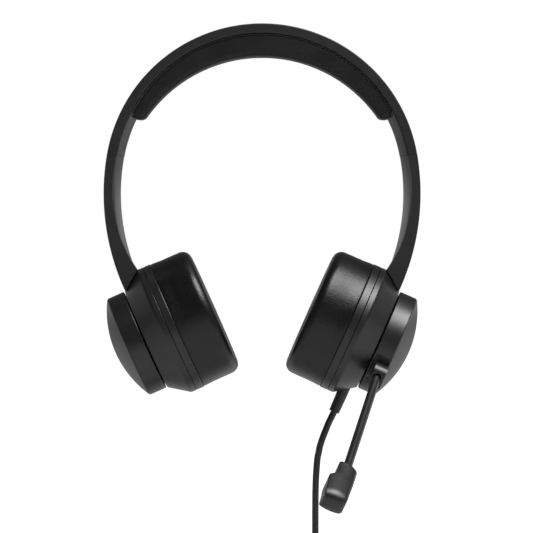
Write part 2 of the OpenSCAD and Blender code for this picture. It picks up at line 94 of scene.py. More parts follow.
# The pad: its plate, its reach either side of the crown, and the arc of its face
PAD_HALF = math.radians(63)
PAD_START = math.radians(89.5) - PAD_HALF
PAD_OVER = math.radians(0.9)
PLATE_T = 1.5
FACE_Z, FACE_R = -70.0, 70.0

# The arms: the slide's path, and the arcs of an arm's outside, its crease and its crowned inside
SLIDE_R = 160.0
SLIDE_C = (JOINTS["right_slider"]["pos_m"][0] / MM, JOINTS["right_slider"]["pos_m"][2] / MM)
ARM_R = 115.2
ARM_C = (SEAM_X - ARM_R * math.cos(SEAM), SEAM_Z - ARM_R * math.sin(SEAM))
CREASE_C, CREASE_R = (4.55, -66.4), 70.0
INNER_C, INNER_R = (-31.5, -68.0), 102.0
ARM_END_W, ARM_END_Z, COVER_END_Z = 16.0, -117.0, -103.0
STRIP_W = 10.0
SEAM_GAP = 0.15
SLIVER = 0.02

# The cups: levels along the axis, inwards from the disc's centre, and radii
CUP_AT = Vector(JOINTS["boom_swing"]["pos_m"]) / MM
CUP_IN = Vector(JOINTS["boom_swing"]["axis"]).normalized()
CUP_UP = Vector((CUP_IN.z, 0, -CUP_IN.x))
DOME_U, CAP_U, DISC_U, CONE_U, FLANGE_U, RING_U, CUSHION_U = -11.3, -4.1, 4.8, 5.45, 15.4, 18.4, 22.5
CUP_R, DISC_R, SMALL_R, EAR_HOLE_R, CUSHION_T = 33.4, 26.2, 26.3, 14.0, 20.6
SADDLE_GAP = 0.8

# The boom and the microphone's half widths, inside and outside, its depth and lengths
BOOM_ANGLE, BOOM_LEAN = math.radians(55), math.radians(1.95)
BOOM_D, BOOM_LEN, BOOM_START, BOOM_U = 4.3, 81.2, 32.2, -1.0
MIC_IN, MIC_OUT, MIC_H, MIC_LEN, MIC_STEP, MIC_CORNER = 7.1, 4.7, 12.0, 24.5, 8.0, 1.6

# The cable
CABLE_D = 3.4
LAYERS = 4
FLOOR_Z = lowest("coil_tie").z
LOW_Z = lowest("cable_coil").z + CABLE_D / 2
TOP_Z = LOW_Z + (LAYERS - 1) * CABLE_D
EXIT_U, BOOT_END = 10.8, 42.1
COIL_C, COIL_R = (2.9, 12.0), 23.7
PLUG_TURN = math.radians(12)

# The cable's free run and its tail, along the route that the frame gives it
CABLE_POINTS = [
    (35.9, 0, -176.9), (34.7, 0, -179.4), (33.2, 0, -182.4), (32, 0, -185.4), (30.8, 0, -188.4),
    (29.7, 0, -191.4), (28.8, 0, -194.4), (28.2, 0, -197.4), (27.6, 0, -200.4), (27, 0, -208),
    (26.7, 0, -216), (26.6, 0, -226), (26.6, 0, -240), (26.6, 0, TOP_Z + 17.4),
    (26.6, 0.3, TOP_Z + 12.4), (26.6, 1.5, TOP_Z + 7.9), (26.6, 4, TOP_Z + 3.9),
    (26.6, 7.5, TOP_Z + 1), (26.6, 12, TOP_Z),
]
TAIL_POINTS = [
    (26.6, 12, LOW_Z), (26.7, 18, LOW_Z), (28, 24, LOW_Z), (31, 29, LOW_Z), (35, 32.5, LOW_Z),
    (40, 34.5, LOW_Z),
]


# ---- Places ----

# the right ear cup's frame: local +Z inwards, local +X up towards the arm
CUP = Matrix.Translation(CUP_AT) @ Matrix((CUP_UP, (0, 1, 0), CUP_IN)).transposed().to_4x4()
MIRROR = Matrix.Scale(-1, 4, (1, 0, 0))
IDENTITY = Matrix.Identity(4)
HOOD = CUP @ Matrix.Rotation(math.pi + BOOM_ANGLE, 4, "Z")
BOOM = (
    HOOD
    @ Matrix.Translation((BOOM_START, 0, BOOM_U))
    @ Matrix.Rotation(math.pi / 2 + BOOM_LEAN, 4, "Y")
    @ Matrix.Rotation(math.pi, 4, "Z")
)
MIC = BOOM @ Matrix.Translation((0, 0, BOOM_LEN))
PLUG_Z = (lowest("usb_plug_shell").z + highest("usb_plug_shell").z) / 2
PLUG = Matrix.Translation((*TAIL_POINTS[-1][:2], PLUG_Z)) @ Matrix.Rotation(PLUG_TURN, 4, "Z")
SIDES = {"right": IDENTITY, "left": MIRROR}


def on_slide(s):
    """A place on the right slider's path: s millimetres up from the seam, with local +Z outwards."""
    turn = math.pi / 2 - SEAM - s / SLIDE_R
    return Matrix.Translation((SLIDE_C[0], 0, SLIDE_C[1])) @ Matrix.Rotation(turn, 4, "Y")


# ---- Camera, floor and light ----

def link(obj):
    bpy.context.scene.collection.objects.link(obj)
    return obj


def camera():
    distance, half_width = 2250.0, 133.1
    data = bpy.data.cameras.new("camera")
    data.sensor_width = 36.0
    data.lens = 18.0 * distance / half_width
    data.clip_start, data.clip_end = 0.05, 60.0
    cam = link(bpy.data.objects.new("camera", data))
    cam.location = Vector((2.2, -distance, -104.3)) * MM
    cam.rotation_euler = (math.pi / 2, 0, 0)
    bpy.context.scene.camera = cam


def softbox():
    """One large light above, a little in front and to the right."""
    data = bpy.data.lights.new("softbox_top", "AREA")
    data.shape = "RECTANGLE"
    data.size, data.size_y = 0.95, 0.8
    data.energy = 38
    lamp = link(bpy.data.objects.new("softbox_top", data))
    aim = Vector((0.36, -0.38, 0.85)).normalized()
    lamp.location = Vector((0, 0, -100)) * MM + aim * 1.5
    lamp.rotation_euler = aim.to_track_quat("Z", "Y").to_euler()
    lamp.visible_camera = False


def map_range(tree, value, low, high, to_low, to_high):
    node = tree.nodes.new("ShaderNodeMapRange")
    tree.links.new(value, node.inputs["Value"])
    for key, number in zip(("From Min", "From Max", "To Min", "To Max"), (low, high, to_low, to_high)):
        node.inputs[key].default_value = number
    return node


def studio():
    """White below and behind, dim above, in front and straight behind; the camera sees plain white."""
    world = bpy.data.worlds.new("studio")
    bpy.context.scene.world = world
    world.use_nodes = True
    tree = world.node_tree
    tree.nodes.clear()
    new, join = tree.nodes.new, tree.links.new
    split = new("ShaderNodeSeparateXYZ")
    join(new("ShaderNodeTexCoord").outputs["Generated"], split.inputs[0])
    height = map_range(tree, split.outputs["Z"], 0.0, 0.5, 1.7, 0.1)
    height.interpolation_type = "SMOOTHSTEP"
    depth = map_range(tree, split.outputs["Y"], -0.45, 0.45, 0.09, 1.0)
    behind = map_range(tree, split.outputs["Y"], 0.8, 0.97, 1.0, 0.25)
    level = height.outputs[0]
    for factor in (depth, behind):
        product = new("ShaderNodeMath")
        product.operation = "MULTIPLY"
        join(level, product.inputs[0])
        join(factor.outputs[0], product.inputs[1])
        level = product.outputs[0]
    lit, seen, mix = new("ShaderNodeBackground"), new("ShaderNodeBackground"), new("ShaderNodeMixShader")
    seen.inputs["Color"].default_value = (1, 1, 1, 1)
    join(level, lit.inputs["Strength"])
    join(new("ShaderNodeLightPath").outputs["Is Camera Ray"], mix.inputs[0])
    join(lit.outputs[0], mix.inputs[1])
    join(seen.outputs[0], mix.inputs[2])
    join(mix.outputs[0], new("ShaderNodeOutputWorld").inputs["Surface"])
    softbox()


def floor():
    """A round, flat, pale floor of rings that grow wider outwards."""
    mesh = bpy.data.meshes.new("studio_floor")
    bm = bmesh.new()
    centre = bm.verts.new((0, 0, 0))
    last = None
    for r in (0.4, 1, 2, 4, 7, 11, 16):
        ring = [
            bm.verts.new((r * math.cos(a), r * math.sin(a), 0))
            for a in (2 * math.pi * k / 64 for k in range(64))
        ]
        for k in range(64):
            n = (k + 1) % 64
            if last is None:
                bm.faces.new((centre, ring[k], ring[n]))
            else:
                bm.faces.new((last[k], ring[k], ring[n], last[n]))
        last = ring
    bm.to_mesh(mesh)
    bm.free()
    obj = link(bpy.data.objects.new("studio_floor", mesh))
    obj.location.z = (FLOOR_Z - 0.05) * MM
    mesh.materials.append(floor_material())


# ---- Materials ----

class Nodes:
    """A Principled material under construction, with object coordinates in metres."""

    def __init__(self, name):
        self.mat = bpy.data.materials.new(name)
        self.mat.use_nodes = True
        self.tree = self.mat.node_tree
        self.shader = self.tree.nodes["Principled BSDF"]
        self.coords = self.tree.nodes.new("ShaderNodeTexCoord").outputs["Object"]

    def put(self, value, socket):
        """Links a socket to another's output, or gives it a plain value."""
        if isinstance(value, bpy.types.NodeSocket):
            self.tree.links.new(value, socket)
        else:
            socket.default_value = value

    def fill(self, node, **inputs):
        """Puts each value into the input of its name, where an underscore stands for a space."""
        for key, value in inputs.items():
            self.put(value, node.inputs[key.replace("_", " ")])
        return node

    def new(self, kind, **inputs):
        return self.fill(self.tree.nodes.new(kind), **inputs)

    def noise(self, size_mm, detail=3.0, rough=0.5, vector=None):
        return self.new("ShaderNodeTexNoise", Scale=1 / (size_mm * MM), Detail=detail, Roughness=rough,
                        Vector=vector or self.coords).outputs["Fac"]

    def cells(self, size_mm, feature="F1", metric="EUCLIDEAN", vector=None):
        node = self.new("ShaderNodeTexVoronoi", Scale=1 / (size_mm * MM), Vector=vector or self.coords)
        node.feature = feature
        node.distance = metric
        return node.outputs["Distance"]

    def stretched(self, *scale):
        """Coordinates scaled along each axis, for lines and hairs."""
        node = self.new("ShaderNodeMapping", Vector=self.coords)
        node.inputs["Scale"].default_value = scale
        return node.outputs[0]

    def remap(self, value, low, high, to_low, to_high):
        return map_range(self.tree, value, low, high, to_low, to_high).outputs[0]

    def math(self, operation, a, b=0.0):
        node = self.tree.nodes.new("ShaderNodeMath")
        node.operation = operation
        for socket, value in zip(node.inputs, (a, b)):
            self.put(value, socket)
        return node.outputs[0]

    def blend(self, a, share_a, b, share_b):
        return self.math("ADD", self.math("MULTIPLY", a, share_a), self.math("MULTIPLY", b, share_b))

    def colour(self, value, dark, light):
        node = self.new("ShaderNodeValToRGB", Fac=value)
        node.color_ramp.elements[0].color = (*dark, 1)
        node.color_ramp.elements[1].color = (*light, 1)
        self.fill(self.shader, Base_Color=node.outputs["Color"])

    def tones(self, value, base, dark, light):
        """Colours by value between two shades of the base."""
        self.colour(value, *[[min(1, c * shade) for c in base] for shade in (dark, light)])

    def rough(self, value, low, high):
        self.fill(self.shader, Roughness=self.remap(value, 0.3, 0.7, low, high))

    def bump(self, *layers):
        """Each layer is (height socket, depth in millimetres)."""
        normal = None
        for height, depth in layers:
            node = self.new("ShaderNodeBump", Strength=1.0, Distance=depth * MM, Height=height)
            if normal is not None:
                self.fill(node, Normal=normal)
            normal = node.outputs["Normal"]
        self.fill(self.shader, Normal=normal)

    def worn(self):
        """How far a point is a worn edge, from the mesh's own sharpness there, in patches."""
        geometry = self.tree.nodes.new("ShaderNodeNewGeometry").outputs["Pointiness"]
        edge = self.remap(geometry, 0.52, 0.62, 0.0, 0.25)
        patchy = self.remap(self.noise(7.0, 4.0), 0.4, 0.62, 0.2, 1.0)
        return self.math("MULTIPLY", edge, patchy)


def floor_material():
    """Pale matte paper that glows for the camera alone, more so away from the object."""
    m = Nodes("pale_floor")
    noise = m.new("ShaderNodeTexNoise", Scale=3.0)
    reach = m.new("ShaderNodeVectorMath", Vector=m.coords)
    reach.operation = "LENGTH"
    glow = m.remap(reach.outputs["Value"], 0.25, 0.8, 0.3, 1.0)
    seen = m.new("ShaderNodeLightPath").outputs["Is Camera Ray"]
    m.fill(m.shader, Roughness=m.remap(noise.outputs["Fac"], 0.0, 1.0, 0.8, 0.95),
           Base_Color=(0.72, 0.72, 0.72, 1), Specular_IOR_Level=0.1, Emission_Color=(1, 1, 1, 1),
           Emission_Strength=m.math("MULTIPLY", glow, seen))
    return m.mat


def moulded_plastic(name, base, rough, grain=0.32, depth=0.012):
    """Textured black plastic: spark-eroded grain, faint flow mottling and paler worn edges."""
    m = Nodes(name)
    fine = m.noise(grain, 4.0, 0.6)
    broad = m.noise(14.0)
    pits = m.cells(grain * 1.7)
    tone = m.math("ADD", m.blend(fine, 0.45, broad, 0.55), m.worn())
    m.tones(m.remap(tone, 0.3, 0.8, 0.0, 1.0), base, 0.72, 1.3)
    m.rough(m.blend(broad, 0.7, fine, 0.3), rough - 0.05, rough + 0.06)
    m.bump((fine, depth), (pits, depth * 0.6))
    return m.mat


def satin_plastic(name, base, rough, specular=0.5):
    """Smooth satin moulding: a soft orange peel, hairline rubs and dust-fine speckle."""
    m = Nodes(name)
    peel = m.noise(2.6, 2.0)
    speck = m.noise(0.16, 3.0, 0.7)
    broad = m.noise(20.0)
    hair = m.noise(1.5, 6.0, 0.7, m.stretched(1.0, 7.0, 1.0))
    m.tones(m.blend(broad, 0.6, speck, 0.4), base, 0.75, 1.35)
    m.rough(m.blend(broad, 0.5, hair, 0.5), rough - 0.05, rough + 0.07)
    m.bump((peel, 0.006), (speck, 0.0025), (hair, 0.0015))
    m.fill(m.shader, Specular_IOR_Level=specular)
    return m.mat


def leatherette(name, base, rough, pebble, depth, specular):
    """Soft coated leatherette: pebbled grain with creased borders, pores and slack wrinkles; the creases are
    coloured darker as painted shade.
    """
    m = Nodes(name)
    jitter = m.new("ShaderNodeTexNoise", Scale=420.0, Detail=2.0, Vector=m.coords)
    warp = m.new("ShaderNodeMixRGB", Fac=0.0006, Color1=m.coords, Color2=jitter.outputs["Color"])
    warp.blend_type = "ADD"
    bent = warp.outputs[0]
    pebbles = m.cells(pebble, "SMOOTH_F1", vector=bent)
    creases = m.remap(m.cells(pebble * 0.9, "DISTANCE_TO_EDGE", vector=bent), 0.0, 0.22, 0.0, 1.0)
    pores = m.noise(0.14, 3.0, 0.7)
    broad = m.noise(16.0, 4.0)
    slack = m.noise(9.0, 2.0)
    # painted shade: half of the tone darkens the creases between the pebbles, where they sink in; the other
    # half varies at random
    m.tones(m.blend(creases, 0.5, broad, 0.5), base, 0.6, 1.3)
    m.rough(m.blend(broad, 1.0, creases, -0.1), rough - 0.06, rough + 0.08)
    m.bump((slack, 0.09), (pebbles, -depth), (creases, depth * 0.35), (pores, 0.004))
    m.fill(m.shader, Specular_IOR_Level=specular)
    return m.mat


def jacket(name, base, rough):
    """Extruded cable jacket or soft boot: drawn matte skin with dull patches."""
    m = Nodes(name)
    skin = m.noise(0.22, 4.0, 0.65)
    dull = m.noise(11.0)
    drawn = m.noise(1.1, 2.0)
    m.tones(m.blend(dull, 0.7, skin, 0.3), base, 0.75, 1.3)
    m.rough(dull, rough - 0.06, rough + 0.07)
    m.bump((skin, 0.006), (drawn, 0.01))
    return m.mat


def brushed(name, base, rough, along=(1.0, 22.0, 22.0)):
    """Drawn or plated metal with fine directional lines and slight tarnish."""
    m = Nodes(name)
    lines = m.noise(2.2, 5.0, 0.7, m.stretched(*along))
    tarnish = m.noise(6.0, 4.0)
    m.tones(m.blend(lines, 0.4, tarnish, 0.6), base, 0.7, 1.15)
    m.rough(lines, rough - 0.08, rough + 0.1)
    m.bump((lines, 0.003))
    m.fill(m.shader, Metallic=1.0)
    return m.mat


def woven(name, base, pitch=0.55, depth=0.12):
    """A plain weave: two crossing sets of rounded threads."""
    m = Nodes(name)
    split = m.new("ShaderNodeSeparateXYZ", Vector=m.coords)
    turn = 2 * math.pi / (pitch * MM)
    slant = m.math("ADD", split.outputs["X"], split.outputs["Z"])
    across = m.math("SINE", m.math("MULTIPLY", slant, turn * 0.71))
    along = m.math("SINE", m.math("MULTIPLY", split.outputs["Y"], turn))
    cross = m.math("MULTIPLY", across, along)
    fuzz = m.noise(0.12, 4.0, 0.7)
    broad = m.noise(8.0)
    m.tones(m.blend(cross, 0.3, m.math("ADD", fuzz, broad), 0.5), base, 0.4, 1.6)
    m.rough(broad, 0.75, 0.9)
    m.bump((cross, depth), (fuzz, 0.02))
    m.fill(m.shader, Sheen_Weight=0.15, Sheen_Roughness=0.6)
    return m.mat


def foam(name, base):
    """Open-cell foam: deep pores, coloured darker inside as painted shade, under a soft fuzz."""
    m = Nodes(name)
    pores = m.cells(0.5)
    fuzz = m.noise(0.3, 4.0, 0.7)
    # painted shade: each pore is coloured darker towards its middle, where it is deepest
    m.tones(m.math("MULTIPLY", pores, 1.4), base, 0.3, 1.8)
    m.rough(fuzz, 0.85, 0.95)
    m.bump((pores, 0.25), (fuzz, 0.05))
    return m.mat


def board(name):
    """A circuit board: an even green coat with fine tracks."""
    m = Nodes(name)
    tracks = m.cells(1.8, "DISTANCE_TO_EDGE", "MANHATTAN")
    broad = m.noise(5.0)
    edges = m.remap(tracks, 0.0, 0.08, 0.6, 0.0)
    m.colour(m.blend(edges, 1.0, broad, 0.6), (0.008, 0.05, 0.022), (0.03, 0.16, 0.07))
    m.rough(broad, 0.3, 0.42)
    m.bump((tracks, 0.02))
    return m.mat


BLACK = (0.0065, 0.0065, 0.0067)
FINISHES = {
    "shell_black": moulded_plastic("black_textured_plastic", (0.0045, 0.0045, 0.0047), 0.5),
    "crown_black": satin_plastic("black_satin_band_cover", (0.02, 0.02, 0.0205), 0.38, 0.95),
    "cup_black": satin_plastic("black_satin_cup", BLACK, 0.37),
    "disc_black": satin_plastic("black_satin_disc", BLACK, 0.37),
    "dome_black": satin_plastic("black_satin_dome", (0.026, 0.026, 0.0265), 0.42, 0.8),
    "boom_black": satin_plastic("black_satin_boom", (0.009, 0.009, 0.0093), 0.36),
    "leatherette": leatherette("black_leatherette", (0.0035, 0.0035, 0.0037), 0.35, 0.9, 0.045, 0.36),
    "pad_cover": leatherette("black_pad_cover", (0.005, 0.005, 0.0052), 0.5, 0.8, 0.04, 0.3),
    "slider_nylon": moulded_plastic("dark_nylon", (0.024, 0.024, 0.025), 0.4, 0.5, 0.006),
    "steel": brushed("plated_screw_steel", (0.55, 0.56, 0.58), 0.3),
    "spring_steel": brushed("tempered_spring_steel", (0.34, 0.36, 0.39), 0.34, (22.0, 1.0, 22.0)),
    "plug_steel": brushed("nickel_plug_shell", (0.72, 0.71, 0.69), 0.25),
    "gold": brushed("gold_contacts", (0.8, 0.58, 0.25), 0.28),
    "magnet": brushed("zinc_magnet", (0.5, 0.51, 0.53), 0.4),
    "film": satin_plastic("amber_film", (0.32, 0.27, 0.18), 0.3),
    "acoustic_cloth": woven("black_acoustic_cloth", (0.012, 0.012, 0.012)),
    "strap": woven("black_hook_and_loop", (0.014, 0.014, 0.015), 0.8, 0.18),
    "foam": foam("black_foam", (0.012, 0.012, 0.012)),
    "board_green": board("circuit_board"),
    "cable_black": jacket("black_cable_jacket", (0.009, 0.009, 0.0093), 0.48),
    "boot_black": jacket("black_soft_boot", (0.012, 0.012, 0.0125), 0.5),
    "plug_black": moulded_plastic("black_plug_overmould", (0.016, 0.016, 0.0165), 0.46, 0.4, 0.01),
    "plug_insert": satin_plastic("white_plug_insert", (0.62, 0.62, 0.6), 0.4),
}


# ---- Outline and mesh helpers ----

def rect(x0, y0, x1, y1):
    return [(x0, y0), (x1, y0), (x1, y1), (x0, y1)]


def fillet(points, radii, steps=5):
    """A closed outline with its corners rounded; a radius of 0 keeps a corner sharp."""
    out = []
    n = len(points)
    for i, p in enumerate(points):
        r = radii[i] if isinstance(radii, (list, tuple)) else radii
        a, b, c = Vector(points[i - 1]), Vector(p), Vector(points[(i + 1) % n])
        u, v = a - b, c - b
        if r <= 0 or u.length < 1e-6 or v.length < 1e-6:
            out.append(tuple(b))
            continue
        room = 0.49 * min(u.length, v.length)
        u.normalize()
        v.normalize()
        half = u.angle(v) / 2
        if half > math.radians(88):
            out.append(tuple(b))
            continue
        cut = min(r / math.tan(half), room)
        r = cut * math.tan(half)
        centre = b + (u + v).normalized() * (r / math.sin(half))
        start, end = b + u * cut - centre, b + v * cut - centre
        sweep = start.angle(end)
        sign = 1 if start.x * end.y - start.y * end.x > 0 else -1
        base = math.atan2(start.y, start.x)
        for k in range(steps + 1):
            angle = base + sign * sweep * k / steps
            out.append((centre.x + r * math.cos(angle), centre.y + r * math.sin(angle)))
    return out


def build(name, verts, faces, place=IDENTITY, material=None, slot=None, body=None, replaces=(),
          sharp=35, weighted=True):
    """Makes a closed piece from millimetre coordinates, and gives it its finish and body.

    The slot argument is not used.
    """
    mesh = bpy.data.meshes.new(name)
    mesh.from_pydata([tuple((place @ Vector(v)) * MM) for v in verts], [], faces)
    bm = bmesh.new()
    bm.from_mesh(mesh)
    bmesh.ops.remove_doubles(bm, verts=bm.verts, dist=1e-7)
    bmesh.ops.dissolve_degenerate(bm, edges=bm.edges, dist=1e-7)
    bmesh.ops.recalc_face_normals(bm, faces=bm.faces)
    if bm.calc_volume(signed=True) < 0:
        bmesh.ops.reverse_faces(bm, faces=bm.faces)
    bm.to_mesh(mesh)
    bm.free()
    obj = link(bpy.data.objects.new(name, mesh))
    if material:
        mesh.materials.append(FINISHES[material])
    shade(obj, sharp, weighted)
    if body:
        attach(obj, body)
    if replaces:
        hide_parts(*replaces)
    return obj


def shade(obj, sharp=35, weighted=True):
    """Smooth shading that breaks at edges sharper than the angle."""
    obj.data.shade_smooth()
    obj.data.set_sharp_from_angle(angle=math.radians(sharp))
    if weighted:
        obj.modifiers.new("even_normals", "WEIGHTED_NORMAL").keep_sharp = True


def lathe(name, outline, place, sides=144, **rest):
    """Turns a closed outline of (radius, level) points about local Z."""
    verts, faces, rows = [], [], []
    for r, u in outline:
        if r < 1e-4:
            rows.append([len(verts)])
            verts.append((0, 0, u))
        else:
            rows.append(list(range(len(verts), len(verts) + sides)))
            turns = [2 * math.pi * k / sides for k in range(sides)]
            verts += [(r * math.cos(a), r * math.sin(a), u) for a in turns]
    for i, low in enumerate(rows):
        high = rows[(i + 1) % len(rows)]
        if len(low) == 1 and len(high) == 1:
            continue
        for k in range(sides):
            n = (k + 1) % sides
            if len(low) == 1:
                faces.append((low[0], high[n], high[k]))
            elif len(high) == 1:
                faces.append((low[k], low[n], high[0]))
            else:
                faces.append((low[k], low[n], high[n], high[k]))
    return build(name, verts, faces, place, **rest)


def loft(name, sections, place=IDENTITY, loop=False, **rest):
    """Joins closed sections that have the same number of points, and caps both ends or makes a ring."""
    count = len(sections[0])
    verts = [p for s in sections for p in s]
    faces = []
    pairs = len(sections) if loop else len(sections) - 1
    for i in range(pairs):
        j = (i + 1) % len(sections)
        for k in range(count):
            n = (k + 1) % count
            faces.append((i * count + k, i * count + n, j * count + n, j * count + k))
    if not loop:
        faces.append(tuple(reversed(range(count))))
        faces.append(tuple(range((len(sections) - 1) * count, len(sections) * count)))
    return build(name, verts, faces, place, **rest)


def prism(name, outline, low, high, place=IDENTITY, across="y", **rest):
    """A flat outline given thickness: it lies across Y, or along X or Z if so named."""
    order = {"x": (2, 0, 1), "y": (0, 2, 1), "z": (0, 1, 2)}[across]
    sections = []
    for level in (low, high):
        sections.append([tuple((p[0], p[1], level)[i] for i in order) for p in outline])
    return loft(name, sections, place, **rest)


def arc_sections(outline, centre, start, end, steps):
    """An outline of (radius, y) points swept about a Y axis through centre, between two angles."""
    out = []
    for k in range(steps + 1):
        a = start + (end - start) * k / steps
        out.append([(centre[0] + r * math.cos(a), y, centre[1] + r * math.sin(a)) for r, y in outline])
    return out


def finish_solid(obj, cutters, bevel=0, limit=28):
    """Cuts, rounds the edges and applies both, so that the mesh is final, and removes the cutters."""
    obj.modifiers.clear()
    for cutter in cutters:
        cut = obj.modifiers.new("cut", "BOOLEAN")
        cut.operation = "DIFFERENCE"
        cut.solver = "EXACT"
        cut.object = cutter
    if bevel:
        edge = obj.modifiers.new("edge", "BEVEL")
        edge.width = bevel * MM
        edge.segments = 3
        edge.limit_method = "ANGLE"
        edge.angle_limit = math.radians(limit)
        edge.use_clamp_overlap = True
        edge.miter_outer = "MITER_ARC"
    apply_modifiers(obj)
    shade(obj)
    for cutter in cutters:
        scrap(cutter)


def apply_modifiers(obj):
    bpy.context.view_layer.update()
    graph = bpy.context.evaluated_depsgraph_get()
    mesh = bpy.data.meshes.new_from_object(obj.evaluated_get(graph))
    old = obj.data
    obj.modifiers.clear()
    obj.data = mesh
    mesh.name = obj.name
    bpy.data.meshes.remove(old)


def scrap(obj):
    bpy.data.objects.remove(obj, do_unlink=True)


def on_circle(centre, radius, angle):
    return centre[0] + radius * math.cos(angle), centre[1] + radius * math.sin(angle)


def arc_points(centre, radius, start, end, steps):
    return [on_circle(centre, radius, start + (end - start) * k / steps) for k in range(steps + 1)]


def cap_radius(half, rise):
    """The radius of a circle whose cap is 2 * half wide and rise high."""
    return (half ** 2 + rise ** 2) / (2 * rise)


# ---- Cable ----

def smooth(points, steps=4):
    """A Catmull-Rom curve through the points."""
    p = [Vector(q) for q in points]
    p = [2 * p[0] - p[1]] + p + [2 * p[-1] - p[-2]]
    out = []
    for i in range(1, len(p) - 2):
        for k in range(steps):
            t = k / steps
            out.append(0.5 * (
                2 * p[i] + (p[i + 1] - p[i - 1]) * t
                + (2 * p[i - 1] - 5 * p[i] + 4 * p[i + 1] - p[i + 2]) * t * t
                + (3 * p[i] - p[i - 1] - 3 * p[i + 1] + p[i + 2]) * t ** 3
            ))
    return out + [p[-2]]


def coil_points(per_turn=36):
    """Four flat layers wound inwards and outwards in turn; each step fills a sixth of a turn."""
    sixth = 60
    moves = []  # (start in degrees, change of radius, change of height)
    at = 4 * sixth
    for layer in range(LAYERS):
        inwards = -1 if layer % 2 == 0 else 1
        for _ in range(LAYERS - 1):
            moves.append((at, inwards * CABLE_D, 0.0))
            at += 360
        at -= sixth
        if layer < LAYERS - 1:
            moves.append((at, 0.0, -CABLE_D))
            at += 5 * sixth
    end = math.ceil((moves[-1][0] + sixth) / 360) * 360
    out = []
    step = 360 / per_turn
    for k in range(1, int(end / step)):
        angle = k * step
        r, z = COIL_R, TOP_Z
        for start, dr, dz in moves:
            t = min(max((angle - start) / sixth, 0.0), 1.0)
            t = t * t * (3 - 2 * t)
            r += dr * t
            z += dz * t
        out.append(Vector((*on_circle(COIL_C, r, math.radians(angle)), z)))
    return out


def cable():
    """The whole cable as one round curve, and the place where it leaves its strain relief."""
    route = smooth(CABLE_POINTS) + coil_points() + smooth(TAIL_POINTS)
    data = bpy.data.curves.new("usb_cable", "CURVE")
    data.dimensions = "3D"
    data.bevel_depth = CABLE_D / 2 * MM
    data.bevel_resolution = 5
    data.use_fill_caps = True
    spline = data.splines.new("POLY")
    spline.points.add(len(route) - 1)
    for point, p in zip(spline.points, route):
        point.co = (*(p * MM), 1.0)
    spline.use_smooth = True
    data.materials.append(FINISHES["cable_black"])
    obj = link(bpy.data.objects.new("usb_cable", data))
    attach(obj, "right_cup")
    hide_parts("cable", "cable_coil", "cable_tail")
    return obj, route[0] * MM


# ---- Headband ----

def band_shell():
    """The outer channel: flat outside, square shoulders, open towards the cover inside."""
    h = BAND_W / 2
    outline = [
        (BAND_IN, -h), (BAND_R, -h), (BAND_R, h), (BAND_IN, h), (BAND_IN, h - WALL),
        (CHANNEL_R, h - WALL), (CHANNEL_R, -h + WALL), (BAND_IN, -h + WALL),
    ]
    outline = fillet(outline, [1.0, 0.55, 0.55, 1.0, 0.1, 0.5, 0.5, 0.1], 5)
    loft("headband_outer_shell", arc_sections(outline, BAND_C, SEAM, math.pi - SEAM, 150),
         material="shell_black", body="headband", replaces=["headband_shell"])


def crown_outline(steps=22):
    """A circle's cap that meets the flat rim at both edges."""
    r = cap_radius(BAND_W / 2, CROWN_H)
    half = math.asin(BAND_W / 2 / r)
    centre = BAND_IN - SLIVER - CROWN_H + r
    arc = [
        (centre - r * math.cos(half * (2 * k / steps - 1)), r * math.sin(half * (2 * k / steps - 1)))
        for k in range(steps + 1)
    ]
    return fillet(arc, [0.15] + [0] * (steps - 1) + [0.15], 3)


def band_covers():
    """The crowned covers between the pad and the seams, hollowed for the slider strips."""
    end = PAD_START + math.radians(1.6)
    h = STRIP_W / 2 + 0.3
    pocket = rect(SLIDE_R - 6.2, -h, SLIDE_R + 1, h)
    for side, flip in SIDES.items():
        obj = loft(f"{side}_crowned_band_cover", arc_sections(crown_outline(), BAND_C, SEAM, end, 24), flip,
                   material="crown_black", body="headband", replaces=[f"{side}_band_cover"])
        room = arc_sections(pocket, SLIDE_C, SEAM - 0.01, SEAM + 29 / SLIDE_R, 16)
        finish_solid(obj, [loft("pocket", room, flip)])


def pad_plate():
    """The flat plate that carries the pad, seen as a thin dark step beside it."""
    h = BAND_W / 2 - WALL - 0.1
    outline = fillet(rect(BAND_IN - PLATE_T, -h, BAND_IN - SLIVER, h), 0.3, 3)
    loft("headband_pad_plate", arc_sections(outline, BAND_C, PAD_START, math.pi - PAD_START, 100),
         material="crown_black", body="headband", replaces=["headband_liner"])


# ---- Arms ----

def arm_half_width(x, z):
    """Half the arm's width across Y, which narrows from the seam down to the cup."""
    t = min(max((SEAM_Z - z) / (SEAM_Z - ARM_END_Z), 0.0), 1.0)
    return BAND_W / 2 + (ARM_END_W - BAND_W) / 2 * t


def cup_cutter(flip):
    """The cup's outer form grown by the saddle's gap, to shape the arm's end."""
    disc, small, large = (r + SADDLE_GAP for r in (DISC_R, SMALL_R, CUP_R))
    outline = [
        (0, DISC_U - 11.1), (disc, DISC_U - 11.1), (disc, CONE_U + 0.2), (small, CONE_U + 0.2),
        (large, FLANGE_U - 0.3), (large, RING_U + 10), (0, RING_U + 10),
    ]
    return lathe("cup_room", outline, flip @ CUP, 200)


def strip_cutter(flip):
    """Room for the slider strip at the top of an arm."""
    h = STRIP_W / 2 + 0.05
    outline = rect(SLIDE_R - 5.95, -h, SLIDE_R - 4.25, h)
    return loft("strip_room", arc_sections(outline, SLIDE_C, SEAM - 0.101, SEAM + 0.02, 10), flip)


def yoke_cutter(flip):
    """Room for the yoke at the arm's end."""
    return prism("yoke_room", rect(25, 8.55, 43.1, 13.25), -3.05, 3.05, flip @ CUP)


def screw_cutter():
    """A hole for the arm's screw in its cover."""
    ring = [(2.0 * math.cos(a), 2.0 * math.sin(a)) for a in (2 * math.pi * k / 32 for k in range(32))]
    return prism("screw_room", ring, SLIDE_R - 12, SLIDE_R - 7, on_slide(-8), across="z")


